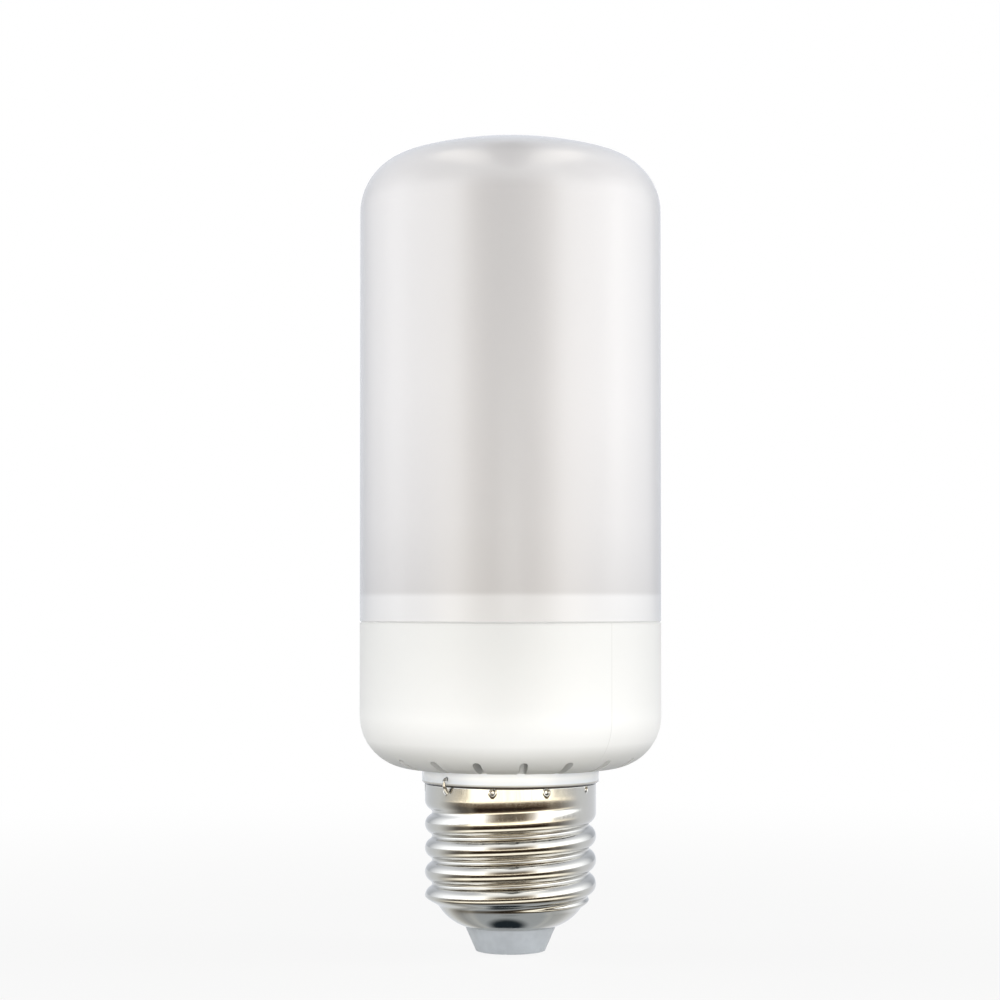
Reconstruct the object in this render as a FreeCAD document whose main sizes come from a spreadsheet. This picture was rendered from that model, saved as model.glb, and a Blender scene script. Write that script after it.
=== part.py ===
import FreeCAD, Part
import math
import os

import Sketcher

# Flame effect LED bulb with an E27 screw cap, built piece by piece.
# Millimetres, +Z up, origin at the tip of the centre contact, front towards -Y.

document = FreeCAD.newDocument("flame_effect_bulb")
sheet = document.addObject("Spreadsheet::Sheet", "Sizes")

# Driving dimensions of the whole lamp and of each piece
DIMENSIONS = {
    # Whole lamp
    "bulb_height": 124,
    "bulb_diameter": 46,
    "edge_break": 0.2,
    # Screw cap, an E27 rolled sheet shell with its insulator and contact
    "sheet_thickness": 0.3,
    "shell_diameter": 26.1,
    "skirt_height": 2.5,
    "thread_depth": 1.05,
    "thread_pitch": 3.629,
    "thread_land": 0.9,
    "thread_entry": 5.03,
    "shell_height": 21.7,
    "shell_bottom_centre": 5,
    "shell_mouth_radius": 7,
    "thread_foot": 2.9,
    "thread_lead_in": 4.7,
    "crimp_count": 10,
    "crimp_width": 0.8,
    "crimp_height": 1,
    "crimp_depth": 0.18,
    "crimp_drop": 0.15,
    "crimp_angle": 6,
    "insulator_height": 3.75,
    "insulator_tip_radius": 5.3,
    "insulator_flange_radius": 9.2,
    "insulator_flange_top": 7.4,
    "insulator_fit": 0.05,
    "contact_height": 0.35,
    "contact_radius": 3.2,
    "contact_tip_radius": 2.8,
    "contact_bevel": 0.15,
    "rivet_radius": 1.4,
    "rivet_fit": 0.05,
    "rivet_stand": 0.8,
    # Collar between the cap and the housing
    "collar_overhang": 0.45,
    "collar_height": 2.2,
    "rim_gap": 0.1,
    "collar_fit": 0.05,
    "collar_wall": 1.3,
    "collar_plug_depth": 7,
    "collar_plug_step": 2.1,
    "neck_wall": 1.15,
    "neck_fit": 0.05,
    "neck_bead": 0.4,
    "neck_rise": 2.6,
    "board_slot_depth": 0.6,
    "board_slot_stop": 0.6,
    "board_fit": 0.05,
    # Housing
    "housing_height": 22.2,
    "housing_wall": 1.8,
    "housing_bottom_flat": 1.5,
    "spigot_height": 4,
    "spigot_wall": 1.4,
    "spigot_fit": 0.15,
    "bead_height": 0.35,
    "bead_width": 1.2,
    "bead_rise": 2,
    "bead_fit": 0.08,
    "vent_count": 18,
    "vent_width": 1.25,
    "vent_inner_gap": 1.1,
    "vent_outer_inset": 3.4,
    "vent_angle": 15.4,
    "boss_radius": 1.9,
    "boss_inset": 3.2,
    "boss_angle": 5.4,
    "pilot_radius": 0.85,
    "pilot_depth": 8,
    # Diffuser
    "diffuser_wall": 1.2,
    "crown_radius": 56,
    "shoulder_radius": 9,
    # Deck that carries the light column
    "deck_drop": 3.8,
    "deck_fit": 0.35,
    "deck_thickness": 1.6,
    "deck_hub_height": 2.4,
    "deck_hub_wall": 1.2,
    "deck_hub_fit": 0.1,
    "deck_opening_radius": 6,
    "screw_hole_radius": 1.3,
    "screw_radius": 0.8,
    "screw_head_radius": 1.7,
    "screw_head_height": 1.2,
    "screw_length": 6,
    # Light column
    "column_gap": 7.8,
    "column_wall": 1.2,
    "column_headroom": 11.5,
    "column_cap_thickness": 1.2,
    "column_cap_plug": 2,
    "flex_thickness": 0.2,
    "flex_seam": 1.6,
    "flex_margin": 1,
    "led_rows": 9,
    "leds_per_row": 11,
    "led_width": 2.8,
    "led_length": 3.5,
    "led_thickness": 0.7,
    "led_solder": 0.01,
    "led_row_margin_low": 8,
    "led_row_margin_high": 4,
    "control_chip_width": 5,
    "control_chip_length": 4,
    "control_chip_thickness": 1.5,
    "control_chip_rise": 0.5,
    # Driver board and what is soldered to it
    "board_thickness": 1.2,
    "board_headroom": 4.2,
    "input_can_gap": 1.75,
    "input_can_length": 12,
    "output_can_radius": 3.1,
    "output_can_length": 10,
    "can_inset": 0.5,
    "output_can_inset": 5.75,
    "choke_radius": 3.2,
    "choke_core_radius": 2,
    "choke_flange": 0.9,
    "choke_height": 5,
    "choke_offset": 4.2,
    "choke_inset": 1,
    "bridge_width": 4.7,
    "bridge_length": 4,
    "bridge_thickness": 2.5,
    "bridge_rise": 1,
    "driver_chip_width": 5,
    "driver_chip_length": 4,
    "driver_chip_thickness": 1.5,
    "driver_chip_offset": 4.5,
    "driver_chip_rise": 2,
    "fuse_radius": 1.3,
    "fuse_length": 6.5,
    "fuse_lead_radius": 0.3,
    "fuse_lead_length": 1.5,
    "fuse_inset": 4.4,
    "fuse_rise": 2.5,
    # Wires
    "live_wire_radius": 0.5,
    "neutral_wire_radius": 0.25,
    "neutral_wire_angle": -135,
    "neutral_wire_rise": 1.1,
    "neutral_wire_end": 0.9,
    "neutral_wire_bend": 0.5,
    "neutral_wire_gap": 1.15,
    "wire_hole_fit": 0.1,
    "wire_bend": 1.2,
    "link_wire_radius": 0.5,
    "link_wire_spread": 2.2,
    "link_wire_end": 2.2,
}

for row, (alias, number) in enumerate(DIMENSIONS.items(), start=1):
    sheet.set("A%d" % row, alias)
    sheet.set("B%d" % row, str(number))
    sheet.setAlias("B%d" % row, alias)
document.recompute()


class Size:
    # A length that keeps its value beside the expression that binds it to the sheet
    def __init__(self, value, text):
        self.value = value
        self.text = text

    def combined(self, sign, other, value):
        return Size(value, "(%s %s %s)" % (self.text, sign, other.text))

    def __add__(self, other):
        other = sized(other)
        return self.combined("+", other, self.value + other.value)

    def __sub__(self, other):
        other = sized(other)
        return self.combined("-", other, self.value - other.value)

    def __mul__(self, other):
        other = sized(other)
        return self.combined("*", other, self.value * other.value)

    def __truediv__(self, other):
        other = sized(other)
        return self.combined("/", other, self.value / other.value)

    def __neg__(self):
        return Size(-self.value, "(0 - %s)" % self.text)


def sized(thing):
    if isinstance(thing, Size):
        return thing
    return Size(float(thing), str(thing))


def size(alias):
    return Size(float(sheet.get(alias)), "Sizes.%s" % alias)


def square_root(length):
    return Size(math.sqrt(length.value), "sqrt(%s)" % length.text)


def other_side(longest, side):
    # The third side of a right-angled triangle
    return square_root(longest * longest - side * side)


nought = Size(0.0, "0")

# Levels along the axis, stacked up from the contact tip
insulator_bottom = size("contact_height")
mouth_level = insulator_bottom + size("insulator_height")
skirt_top = mouth_level + size("shell_height")
skirt_bottom = skirt_top - size("skirt_height")
collar_bottom = skirt_top + size("rim_gap")
housing_bottom = collar_bottom + size("collar_height")
housing_floor = housing_bottom + size("housing_wall")
parting_level = housing_bottom + size("housing_height")
spigot_top = parting_level + size("spigot_height")
bead_level = parting_level + size("bead_rise")
bulb_top = size("bulb_height")
deck_level = parting_level - size("deck_drop")
deck_top = deck_level + size("deck_thickness")
column_top = bulb_top - size("diffuser_wall") - size("column_headroom")
plug_bottom = collar_bottom - size("collar_plug_depth")
neck_top = housing_floor + size("neck_rise")
board_bottom = plug_bottom + size("board_slot_stop")
board_top = deck_level - size("board_headroom")

# Radii that several pieces share
body_radius = size("bulb_diameter") / 2
shell_radius = size("shell_diameter") / 2
root_radius = shell_radius - size("thread_depth")
skirt_bore = shell_radius - size("sheet_thickness")
shell_bore = root_radius - size("sheet_thickness")
collar_radius = shell_radius + size("collar_overhang")
plug_radius = shell_bore - size("collar_fit")
collar_bore = plug_radius - size("collar_wall")
neck_radius = collar_bore + size("neck_wall")
diffuser_bore = body_radius - size("diffuser_wall")
spigot_radius = diffuser_bore - size("spigot_fit")
spigot_bore = spigot_radius - size("spigot_wall")
housing_bore = body_radius - size("housing_wall")
housing_corner = body_radius - collar_radius - size("housing_bottom_flat")
boss_circle = housing_bore - size("boss_inset")
deck_radius = spigot_bore - size("deck_fit")
column_radius = diffuser_bore - size("column_gap")
column_bore = column_radius - size("column_wall")
flex_radius = column_radius + size("flex_thickness")
board_half_width = collar_bore + size("board_slot_depth") - size("board_fit")
board_face = size("board_thickness") / 2
input_can_radius = (collar_bore - board_face - size("input_can_gap")) / 2

# The shell's bottom curves in from the thread's root to its mouth, round this centre
bottom_across = size("shell_bottom_centre")
bottom_radius = root_radius - bottom_across
mouth_reach = size("shell_mouth_radius") - bottom_across
bottom_up = mouth_level + other_side(bottom_radius, mouth_reach)


# Helpers that draw bound sketches and turn them into solids
def to(across, up):
    return (across, up, None)


def round_to(across, up, centre_across, centre_up, turn):
    return (across, up, (centre_across, centre_up, turn))


def new_body(name):
    body = document.addObject("PartDesign::Body", name)
    body.Label = name
    return body


def origin_feature(body, role):
    return [feature for feature in body.Origin.OriginFeatures if feature.Role == role][0]


def dimension(drawing, kind, places, length):
    number = drawing.addConstraint(Sketcher.Constraint(kind, *places, length.value))
    drawing.setExpression("Constraints[%d]" % number, length.text)


def edge_of(start, end, bend):
    if bend is None:
        return Part.LineSegment(start, end), 1, 2
    centre = FreeCAD.Vector(bend[0].value, bend[1].value, 0)
    circle = Part.Circle(centre, FreeCAD.Vector(0, 0, 1), (start - centre).Length)
    first, last = (start, end) if bend[2] == "left" else (end, start)
    low = math.atan2(first.y - centre.y, first.x - centre.x)
    high = math.atan2(last.y - centre.y, last.x - centre.x)
    if high <= low:
        high += 2 * math.pi
    arc = Part.ArcOfCircle(circle, low, high)
    return (arc, 1, 2) if bend[2] == "left" else (arc, 2, 1)


def outline(body, name, role, corners, level=None, turn=None):
    # A closed outline through the corners, each placed by its two distances from the origin
    # and turned about the body's upright axis
    drawing = body.newObject("Sketcher::SketchObject", name)
    drawing.AttachmentSupport = [(origin_feature(body, role), "")]
    drawing.MapMode = "FlatFace"
    upright = FreeCAD.Vector(0, 0, 1) if role == "XY_Plane" else FreeCAD.Vector(0, 1, 0)
    drawing.AttachmentOffset = FreeCAD.Placement(FreeCAD.Vector(), FreeCAD.Rotation(upright, 1))
    if level is not None:
        drawing.setExpression("AttachmentOffset.Base.z", level.text)
    drawing.setExpression("AttachmentOffset.Rotation.Angle", (turn or nought).text)
    places = [FreeCAD.Vector(corner[0].value, corner[1].value, 0) for corner in corners]
    ends = []
    for number, corner in enumerate(corners):
        edge, first, last = edge_of(places[number - 1], places[number], corner[2])
        drawing.addGeometry(edge, False)
        ends.append((first, last))
    for number in range(len(corners)):
        follower = (number + 1) % len(corners)
        joint = Sketcher.Constraint("Coincident", number, ends[number][1], follower, ends[follower][0])
        drawing.addConstraint(joint)
    for number, (across, up, bend) in enumerate(corners):
        corner = (number, ends[number][1])
        if across is nought:
            drawing.addConstraint(Sketcher.Constraint("PointOnObject", *corner, -2))
        else:
            dimension(drawing, "DistanceX", (-1, 1) + corner, across)
        if up is nought:
            drawing.addConstraint(Sketcher.Constraint("PointOnObject", *corner, -1))
        else:
            dimension(drawing, "DistanceY", (-1, 1) + corner, up)
        if bend is not None:
            chord = places[number] - places[number - 1]
            flat = abs(chord.x) > abs(chord.y)
            kind, length = ("DistanceY", bend[1]) if flat else ("DistanceX", bend[0])
            if length is nought:
                axis = -1 if flat else -2
                drawing.addConstraint(Sketcher.Constraint("PointOnObject", number, 3, axis))
            else:
                dimension(drawing, kind, (-1, 1, number, 3), length)
    return drawing


def profile(body, name, corners):
    return outline(body, name, "XZ_Plane", corners)


def turned(body, name, drawing, kind="PartDesign::Revolution"):
    feature = body.newObject(kind, name)
    feature.Profile = drawing
    feature.ReferenceAxis = (origin_feature(body, "Z_Axis"), [""])
    feature.Angle = 360
    document.recompute()
    return feature


def padded(body, name, drawing, length):
    feature = body.newObject("PartDesign::Pad", name)
    feature.Profile = drawing
    feature.setExpression("Length", length.text)
    document.recompute()
    return feature


def pocketed(body, name, drawing, length, upwards):
    volume = body.Shape.Volume
    feature = body.newObject("PartDesign::Pocket", name)
    feature.Profile = drawing
    feature.Reversed = upwards
    feature.setExpression("Length", length.text)
    document.recompute()
    if body.Shape.Volume >= volume:
        raise RuntimeError("%s cut nothing" % name)
    return feature


def ringed(body, name, feature, count):
    volume = body.Shape.Volume
    pattern = body.newObject("PartDesign::PolarPattern", name)
    pattern.Originals = [feature]
    pattern.Axis = (origin_feature(body, "Z_Axis"), [""])
    pattern.Angle = 360
    pattern.setExpression("Occurrences", count.text)
    body.Tip = pattern
    document.recompute()
    if abs(body.Shape.Volume - volume) < 1e-6:
        raise RuntimeError("%s changed nothing" % name)
    return pattern


def rectangle(low_across, high_across, low_up, high_up):
    return [
        to(low_across, low_up),
        to(high_across, low_up),
        to(high_across, high_up),
        to(low_across, high_up),
    ]


def lengthwise_slot(inner, outer, width):
    half = width / 2
    return [
        to(outer, -half),
        round_to(outer, half, outer, nought, "left"),
        to(inner, half),
        round_to(inner, -half, inner, nought, "left"),
    ]


def make_contact():
    body = new_body("centre_contact")
    tip, head, rivet = size("contact_tip_radius"), size("contact_radius"), size("rivet_radius")
    rivet_top = size("insulator_flange_top") + size("rivet_stand")
    drawing = profile(body, "contact_profile", [
        to(nought, nought),
        to(tip, nought),
        to(head, size("contact_bevel")),
        to(head, insulator_bottom),
        to(rivet, insulator_bottom),
        to(rivet, rivet_top),
        to(nought, rivet_top),
    ])
    turned(body, "contact_turned", drawing)
    return body


def make_insulator():
    # The cone fills the shell's mouth and its flange rests on the shell's curved bottom
    body = new_body("cap_insulator")
    fit = size("insulator_fit")
    hole = size("rivet_radius") + size("rivet_fit")
    waist = size("shell_mouth_radius") - fit
    seat_radius = bottom_radius - size("sheet_thickness") - fit
    seat_level = bottom_up - other_side(seat_radius, waist - bottom_across)
    flange = size("insulator_flange_radius")
    flange_low = bottom_up - other_side(seat_radius, flange - bottom_across)
    flange_top = size("insulator_flange_top")
    drawing = profile(body, "insulator_profile", [
        to(hole, insulator_bottom),
        to(size("insulator_tip_radius"), insulator_bottom),
        to(waist, mouth_level),
        to(waist, seat_level),
        round_to(flange, flange_low, bottom_across, bottom_up, "left"),
        to(flange, flange_top),
        to(hole, flange_top),
    ])
    turned(body, "insulator_turned", drawing)
    return body


def make_shell():
    # Rolled sheet: curved bottom, thread that runs out into a plain skirt, and crimps at the rim
    body = new_body("screw_shell")
    sheet_metal = size("sheet_thickness")
    inner_radius = bottom_radius - sheet_metal
    foot_level = mouth_level + size("thread_foot")
    foot = bottom_across + other_side(bottom_radius, bottom_up - foot_level)
    lead = mouth_level + size("thread_lead_in")
    mouth = size("shell_mouth_radius")
    inner_mouth = bottom_up - other_side(inner_radius, mouth_reach)
    shoulder = skirt_bottom + sheet_metal
    flank = (size("thread_pitch") - size("thread_land")) / 2
    root_half = size("thread_land") / 2
    drawing = profile(body, "shell_profile", [
        to(mouth, mouth_level),
        round_to(foot, foot_level, bottom_across, bottom_up, "left"),
        to(shell_radius, lead),
        to(shell_radius, skirt_top),
        to(skirt_bore, skirt_top),
        to(skirt_bore, shoulder),
        to(shell_bore, shoulder - (skirt_bore - shell_bore)),
        to(shell_bore, bottom_up),
        round_to(mouth, inner_mouth, bottom_across, bottom_up, "right"),
    ])
    turned(body, "shell_turned", drawing)
    volume = body.Shape.Volume
    entry = size("thread_entry")
    outside = shell_radius + sheet_metal
    groove = profile(body, "thread_groove", [
        to(outside, entry - flank),
        to(shell_radius, entry - flank),
        to(root_radius, entry - root_half),
        to(root_radius, entry + root_half),
        to(shell_radius, entry + flank),
        to(outside, entry + flank),
    ])
    thread = body.newObject("PartDesign::SubtractiveHelix", "rolled_thread")
    thread.Profile = groove
    thread.ReferenceAxis = (origin_feature(body, "Z_Axis"), [""])
    thread.Mode = 0
    thread.setExpression("Pitch", size("thread_pitch").text)
    thread.setExpression("Height", (skirt_bottom - flank - entry).text)
    thread.Angle = 0
    document.recompute()
    if body.Shape.Volume >= volume:
        raise RuntimeError("rolled_thread cut nothing")
    half = size("crimp_width") / 2
    crimp_floor = shell_radius - size("crimp_depth")
    drawing = outline(body, "crimp_outline", "XY_Plane",
                      rectangle(crimp_floor, shell_radius + sheet_metal, -half, half),
                      level=skirt_top - size("crimp_drop"), turn=size("crimp_angle"))
    crimp = pocketed(body, "crimp", drawing, size("crimp_height"), False)
    ringed(body, "crimps", crimp, size("crimp_count"))
    return body


def make_collar():
    # Plug inside the cap, rim between cap and housing, neck with a snap bead in the housing floor
    body = new_body("cap_collar")
    skirt_plug = skirt_bore - size("collar_fit")
    step = collar_bottom - size("collar_plug_step")
    bead = neck_radius + size("neck_bead")
    bead_low = housing_floor + size("neck_fit")
    bead_mid = bead_low + size("neck_bead")
    drawing = profile(body, "collar_profile", [
        to(collar_bore, plug_bottom),
        to(plug_radius, plug_bottom),
        to(plug_radius, step - (skirt_plug - plug_radius)),
        to(skirt_plug, step),
        to(skirt_plug, collar_bottom),
        to(collar_radius - size("edge_break"), collar_bottom),
        to(collar_radius, collar_bottom + size("edge_break")),
        to(collar_radius, housing_bottom),
        to(neck_radius, housing_bottom),
        to(neck_radius, bead_low),
        to(bead, bead_mid),
        to(neck_radius, neck_top),
        to(collar_bore, neck_top),
    ])
    turned(body, "collar_turned", drawing)
    slot_half = board_face + size("board_fit")
    slot_reach = board_half_width + size("board_fit")
    drawing = outline(body, "board_slots_outline", "XY_Plane",
                      rectangle(-slot_reach, slot_reach, -slot_half, slot_half),
                      level=board_bottom)
    pocketed(body, "board_slots", drawing, neck_top - board_bottom, True)
    hole_radius = size("neutral_wire_radius") + size("wire_hole_fit")
    hole_level = collar_bottom + size("neutral_wire_rise")
    drawing = outline(body, "wire_hole_outline", "YZ_Plane", [
        round_to(nought, hole_level + hole_radius, nought, hole_level, "left"),
        round_to(nought, hole_level - hole_radius, nought, hole_level, "left"),
    ], turn=size("neutral_wire_angle"))
    pocketed(body, "wire_hole", drawing, collar_radius + hole_radius, True)
    return body


def make_housing():
    body = new_body("housing")
    wall = size("housing_wall")
    corner = housing_corner
    corner_across = body_radius - corner
    corner_up = housing_bottom + corner
    mouth = neck_radius + size("neck_fit")
    chamfer = size("edge_break")
    bead = spigot_radius + size("bead_height")
    half = size("bead_width") / 2
    taper = housing_bore - spigot_bore
    drawing = profile(body, "housing_profile", [
        to(mouth, housing_bottom),
        to(corner_across, housing_bottom),
        round_to(body_radius, corner_up, corner_across, corner_up, "left"),
        to(body_radius, parting_level - chamfer),
        to(body_radius - chamfer, parting_level),
        to(spigot_radius, parting_level),
        to(spigot_radius, bead_level - half),
        to(bead, bead_level),
        to(spigot_radius, bead_level + half),
        to(spigot_radius, spigot_top - chamfer),
        to(spigot_radius - chamfer, spigot_top),
        to(spigot_bore, spigot_top),
        to(spigot_bore, parting_level - wall),
        to(housing_bore, parting_level - wall - taper),
        to(housing_bore, corner_up),
        round_to(corner_across, housing_floor, corner_across, corner_up, "right"),
        to(mouth, housing_floor),
    ])
    turned(body, "housing_turned", drawing)
    ring, boss = boss_circle, size("boss_radius")
    drawing = outline(body, "boss_outline", "XY_Plane", [
        round_to(ring, boss, ring, nought, "left"),
        round_to(ring, -boss, ring, nought, "left"),
    ], level=housing_floor, turn=size("boss_angle"))
    raised = padded(body, "boss", drawing, deck_level - housing_floor)
    ringed(body, "bosses", raised, sized(2))
    pilot = size("pilot_radius")
    drawing = outline(body, "pilot_outline", "XY_Plane", [
        round_to(ring, pilot, ring, nought, "left"),
        round_to(ring, -pilot, ring, nought, "left"),
    ], level=deck_level, turn=size("boss_angle"))
    drilled = pocketed(body, "pilot", drawing, size("pilot_depth"), False)
    ringed(body, "pilots", drilled, sized(2))
    drawing = outline(body, "vent_outline", "XY_Plane",
                      lengthwise_slot(collar_radius + size("vent_inner_gap"),
                                      body_radius - size("vent_outer_inset"),
                                      size("vent_width")),
                      level=housing_bottom, turn=size("vent_angle"))
    vent = pocketed(body, "vent", drawing, corner, True)
    ringed(body, "vents", vent, size("vent_count"))
    return body


def make_diffuser():
    # Opal cup: flat crown, round shoulder, straight wall and a snap groove at its foot
    body = new_body("diffuser")
    wall, crown, shoulder = size("diffuser_wall"), size("crown_radius"), size("shoulder_radius")
    crown_centre = bulb_top - crown
    shoulder_across = body_radius - shoulder
    span = crown - shoulder
    shoulder_rise = other_side(span, shoulder_across)
    shoulder_up = crown_centre + shoulder_rise
    outer_ratio = crown / span
    inner_ratio = (crown - wall) / span
    inner_top = bulb_top - wall
    chamfer = size("edge_break")
    half = size("bead_width") / 2
    groove_fit = size("bead_fit")
    groove = spigot_radius + size("bead_height") + groove_fit
    drawing = profile(body, "diffuser_profile", [
        to(diffuser_bore, parting_level),
        to(body_radius - chamfer, parting_level),
        to(body_radius, parting_level + chamfer),
        to(body_radius, shoulder_up),
        round_to(shoulder_across * outer_ratio, crown_centre + shoulder_rise * outer_ratio,
                 shoulder_across, shoulder_up, "left"),
        round_to(nought, bulb_top, nought, crown_centre, "left"),
        to(nought, inner_top),
        round_to(shoulder_across * inner_ratio, crown_centre + shoulder_rise * inner_ratio,
                 nought, crown_centre, "right"),
        round_to(diffuser_bore, shoulder_up, shoulder_across, shoulder_up, "right"),
        to(diffuser_bore, bead_level + half),
        to(groove, bead_level + groove_fit),
        to(groove, bead_level - groove_fit),
        to(diffuser_bore, bead_level - half),
    ])
    turned(body, "diffuser_turned", drawing)
    return body


def make_deck():
    # Round plate on the two bosses, with a hub ring that the column stands round
    body = new_body("deck_plate")
    hub = column_bore - size("deck_hub_fit")
    hub_bore = hub - size("deck_hub_wall")
    hub_top = deck_top + size("deck_hub_height")
    opening = size("deck_opening_radius")
    drawing = profile(body, "deck_profile", [
        to(opening, deck_level),
        to(deck_radius, deck_level),
        to(deck_radius, deck_top),
        to(hub, deck_top),
        to(hub, hub_top),
        to(hub_bore, hub_top),
        to(hub_bore, deck_top),
        to(opening, deck_top),
    ])
    turned(body, "deck_turned", drawing)
    ring, hole = boss_circle, size("screw_hole_radius")
    drawing = outline(body, "screw_hole_outline", "XY_Plane", [
        round_to(ring, hole, ring, nought, "left"),
        round_to(ring, -hole, ring, nought, "left"),
    ], level=deck_top, turn=size("boss_angle"))
    drilled = pocketed(body, "screw_hole", drawing, size("deck_thickness"), False)
    ringed(body, "screw_holes", drilled, sized(2))
    wire = size("link_wire_radius") + size("wire_hole_fit")
    reach = column_radius + size("flex_thickness") + size("link_wire_radius")
    spread = size("link_wire_spread")
    for side, name in ((1, "right"), (-1, "left")):
        across = spread * side
        drawing = outline(body, "wire_hole_outline_%s" % name, "XY_Plane", [
            round_to(across, reach + wire, across, reach, "left"),
            round_to(across, reach - wire, across, reach, "left"),
        ], level=deck_top)
        pocketed(body, "wire_hole_%s" % name, drawing, size("deck_thickness"), False)
    return body


def make_deck_screw(name, half_turn):
    body = new_body(name)
    head_top = deck_top + size("screw_head_height")
    drawing = profile(body, name + "_profile", [
        to(nought, head_top),
        to(nought, deck_top - size("screw_length")),
        to(size("screw_radius"), deck_top - size("screw_length") + size("screw_radius")),
        to(size("screw_radius"), deck_top),
        to(size("screw_head_radius"), deck_top),
        to(size("screw_head_radius"), head_top - size("edge_break")),
        to(size("screw_head_radius") - size("edge_break"), head_top),
    ])
    turned(body, name + "_turned", drawing)
    angle = "%s + %d" % (size("boss_angle").text, half_turn)
    body.setExpression("Placement.Base.x", "%s * cos(%s)" % (boss_circle.text, angle))
    body.setExpression("Placement.Base.y", "%s * sin(%s)" % (boss_circle.text, angle))
    return body


def make_column():
    body = new_body("core_tube")
    drawing = profile(body, "core_profile",
                      rectangle(column_bore, column_radius, deck_top, column_top))
    turned(body, "core_turned", drawing)
    return body


def make_column_cap():
    body = new_body("column_cap")
    plug = column_bore - size("deck_hub_fit")
    cap_top = column_top + size("column_cap_thickness")
    drawing = profile(body, "column_cap_profile", [
        to(nought, column_top - size("column_cap_plug")),
        to(plug, column_top - size("column_cap_plug")),
        to(plug, column_top),
        to(column_radius, column_top),
        to(column_radius, cap_top),
        to(nought, cap_top),
    ])
    turned(body, "column_cap_turned", drawing)
    return body


def make_flex_board():
    # Thin board rolled round the column, open at a seam towards the back
    body = new_body("flexible_board")
    low = deck_top + size("flex_margin")
    high = column_top - size("flex_margin")
    drawing = profile(body, "flex_profile", rectangle(column_radius, flex_radius, low, high))
    turned(body, "flex_turned", drawing)
    half = size("flex_seam") / 2
    drawing = outline(body, "seam_outline", "XY_Plane",
                      rectangle(-half, half, column_bore, flex_radius + half), level=low)
    pocketed(body, "seam", drawing, high - low, True)
    return body


def make_led_row(number):
    # Eleven chips stand round the board, none on the seam
    body = new_body("led_row_%d" % number)
    body.AllowCompound = True
    first = deck_top + size("led_row_margin_low")
    last = column_top - size("led_row_margin_high")
    step = (last - first) / (size("led_rows") - 1)
    level = first + step * (number - 1) - size("led_length") / 2
    half = size("led_width") / 2
    seat = flex_radius + size("led_solder")
    drawing = outline(body, "led_outline_%d" % number, "XY_Plane",
                      rectangle(-half, half, -seat - size("led_thickness"), -seat),
                      level=level)
    chip = padded(body, "led_%d" % number, drawing, size("led_length"))
    ringed(body, "leds_%d" % number, chip, size("leds_per_row"))
    return body


def block(name, width, depth, height, left, front, bottom):
    made = document.addObject("Part::Box", name)
    made.Label = name
    made.setExpression("Length", width.text)
    made.setExpression("Width", depth.text)
    made.setExpression("Height", height.text)
    made.setExpression("Placement.Base.x", left.text)
    made.setExpression("Placement.Base.y", front.text)
    made.setExpression("Placement.Base.z", bottom.text)
    return made


def make_board_parts():
    made = []
    half = board_face
    made.append(block("driver_board", board_half_width * 2, size("board_thickness"),
                      board_top - board_bottom, -board_half_width, -half, board_bottom))
    made.append(block("bridge_rectifier", size("bridge_width"), size("bridge_thickness"),
                      size("bridge_length"), -(size("bridge_width") / 2), half,
                      board_bottom + size("bridge_rise")))
    made.append(block("driver_chip", size("driver_chip_width"), size("driver_chip_thickness"),
                      size("driver_chip_length"),
                      size("driver_chip_offset") - size("driver_chip_width") / 2,
                      -half - size("driver_chip_thickness"),
                      board_bottom + size("driver_chip_rise")))
    made.append(block("control_chip", size("control_chip_width"), size("control_chip_thickness"),
                      size("control_chip_length"), -(size("control_chip_width") / 2),
                      -flex_radius - size("control_chip_thickness"),
                      deck_top + size("control_chip_rise") + size("flex_margin")))
    return made


def can(name, radius, length, across, depth, bottom):
    made = document.addObject("Part::Cylinder", name)
    made.Label = name
    made.setExpression("Radius", radius.text)
    made.setExpression("Height", length.text)
    made.setExpression("Placement.Base.x", across.text)
    made.setExpression("Placement.Base.y", depth.text)
    made.setExpression("Placement.Base.z", bottom.text)
    return made


def make_cans():
    # Electrolytic cans lie along the board near its top edge
    top = board_top - size("can_inset")
    large, small = input_can_radius, size("output_can_radius")
    return [
        can("input_capacitor", large, size("input_can_length"), nought, board_face + large,
            top - size("input_can_length")),
        can("output_capacitor", small, size("output_can_length"), collar_bore - size("output_can_inset"),
            -board_face - small, top - size("output_can_length")),
    ]


def make_choke():
    # Drum core standing on the board's front face
    body = new_body("choke")
    flange, core = size("choke_radius"), size("choke_core_radius")
    height = size("choke_height")
    drawing = profile(body, "choke_profile", [
        to(nought, nought),
        to(flange, nought),
        to(flange, size("choke_flange")),
        to(core, size("choke_flange")),
        to(core, height - size("choke_flange")),
        to(flange, height - size("choke_flange")),
        to(flange, height),
        to(nought, height),
    ])
    turned(body, "choke_turned", drawing)
    body.Placement = FreeCAD.Placement(FreeCAD.Vector(), FreeCAD.Rotation(FreeCAD.Vector(1, 0, 0), 90))
    level = board_top - size("choke_inset") - size("choke_radius")
    body.setExpression("Placement.Base.x", (-size("choke_offset")).text)
    body.setExpression("Placement.Base.y", (-board_face).text)
    body.setExpression("Placement.Base.z", level.text)
    return body


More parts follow.
